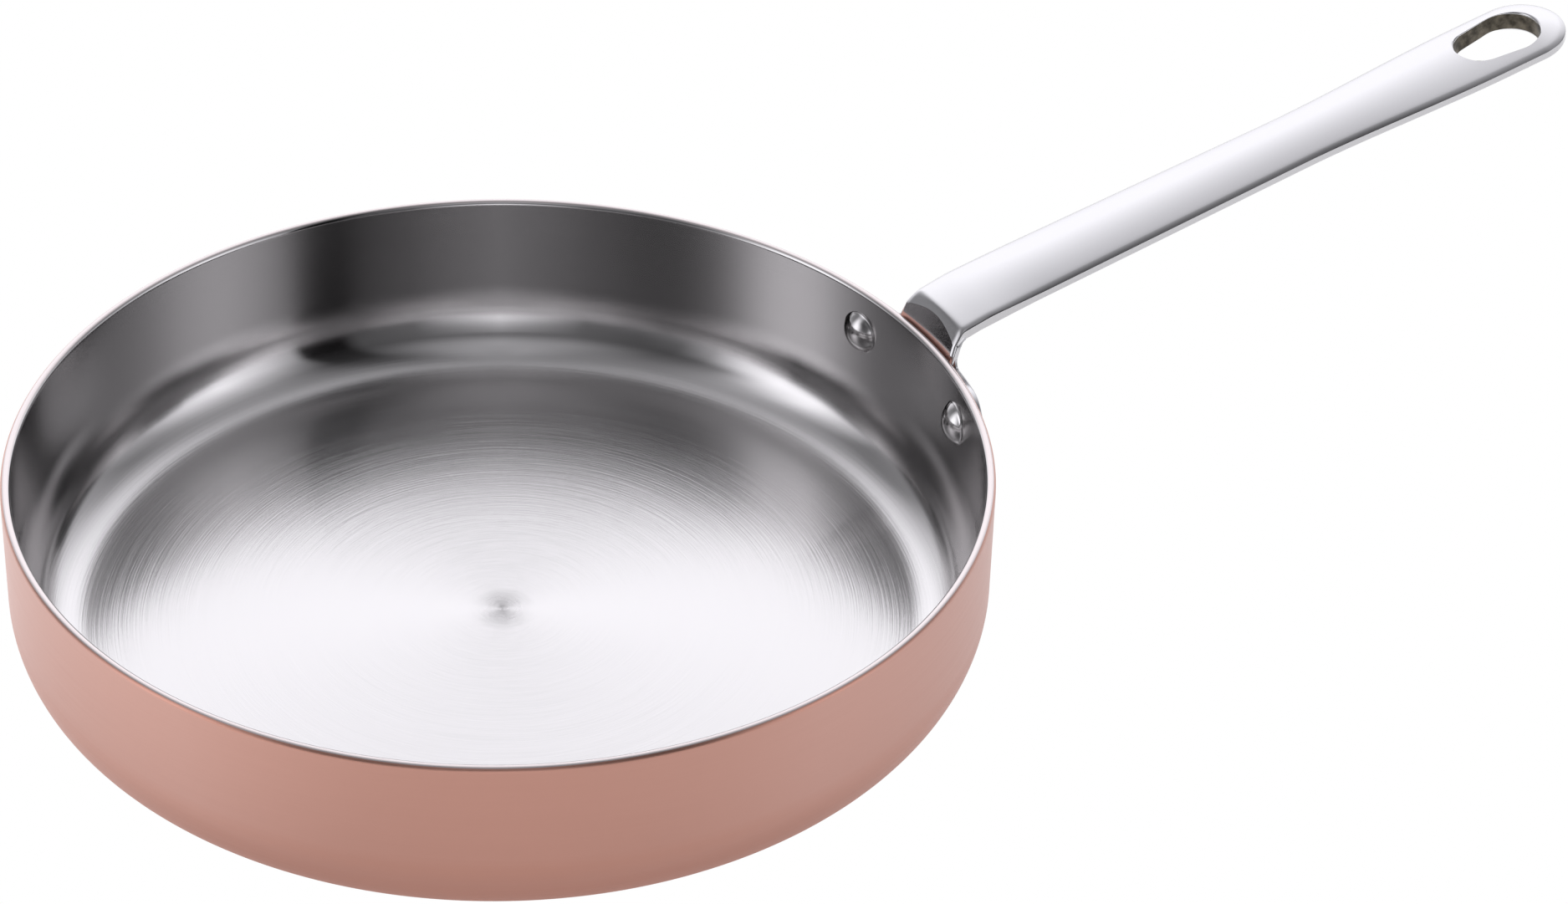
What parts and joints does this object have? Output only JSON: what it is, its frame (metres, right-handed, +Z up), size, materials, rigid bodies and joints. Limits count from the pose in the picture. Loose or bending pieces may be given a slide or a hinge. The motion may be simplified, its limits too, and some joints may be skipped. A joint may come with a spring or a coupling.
{
  "type": "omelette pan",
  "caption": "Low round pan with upright walls, copper outside and brushed steel inside, and a long riveted steel handle with a hanging hole.",
  "frame": {"origin": "middle of the pan's flat underside", "axes": "+X along the handle, from the pan's axis towards the tip; +Y to the left of the handle; +Z up out of the pan"},
  "size_m": [0.4343, 0.24, 0.0917],
  "materials": {
    "copper": "satin brushed",
    "core_aluminium": "polished edge",
    "liner_steel": "fine circular brushing",
    "handle_steel": "polished",
    "rivet_steel": "polished"
  },
  "bodies": {
    "root": {"copper_skin": "copper", "aluminium_core": "core_aluminium", "steel_liner": "liner_steel", "handle": "handle_steel", "rivet_left": "rivet_steel", "rivet_right": "rivet_steel"}
  },
  "joints": []
}
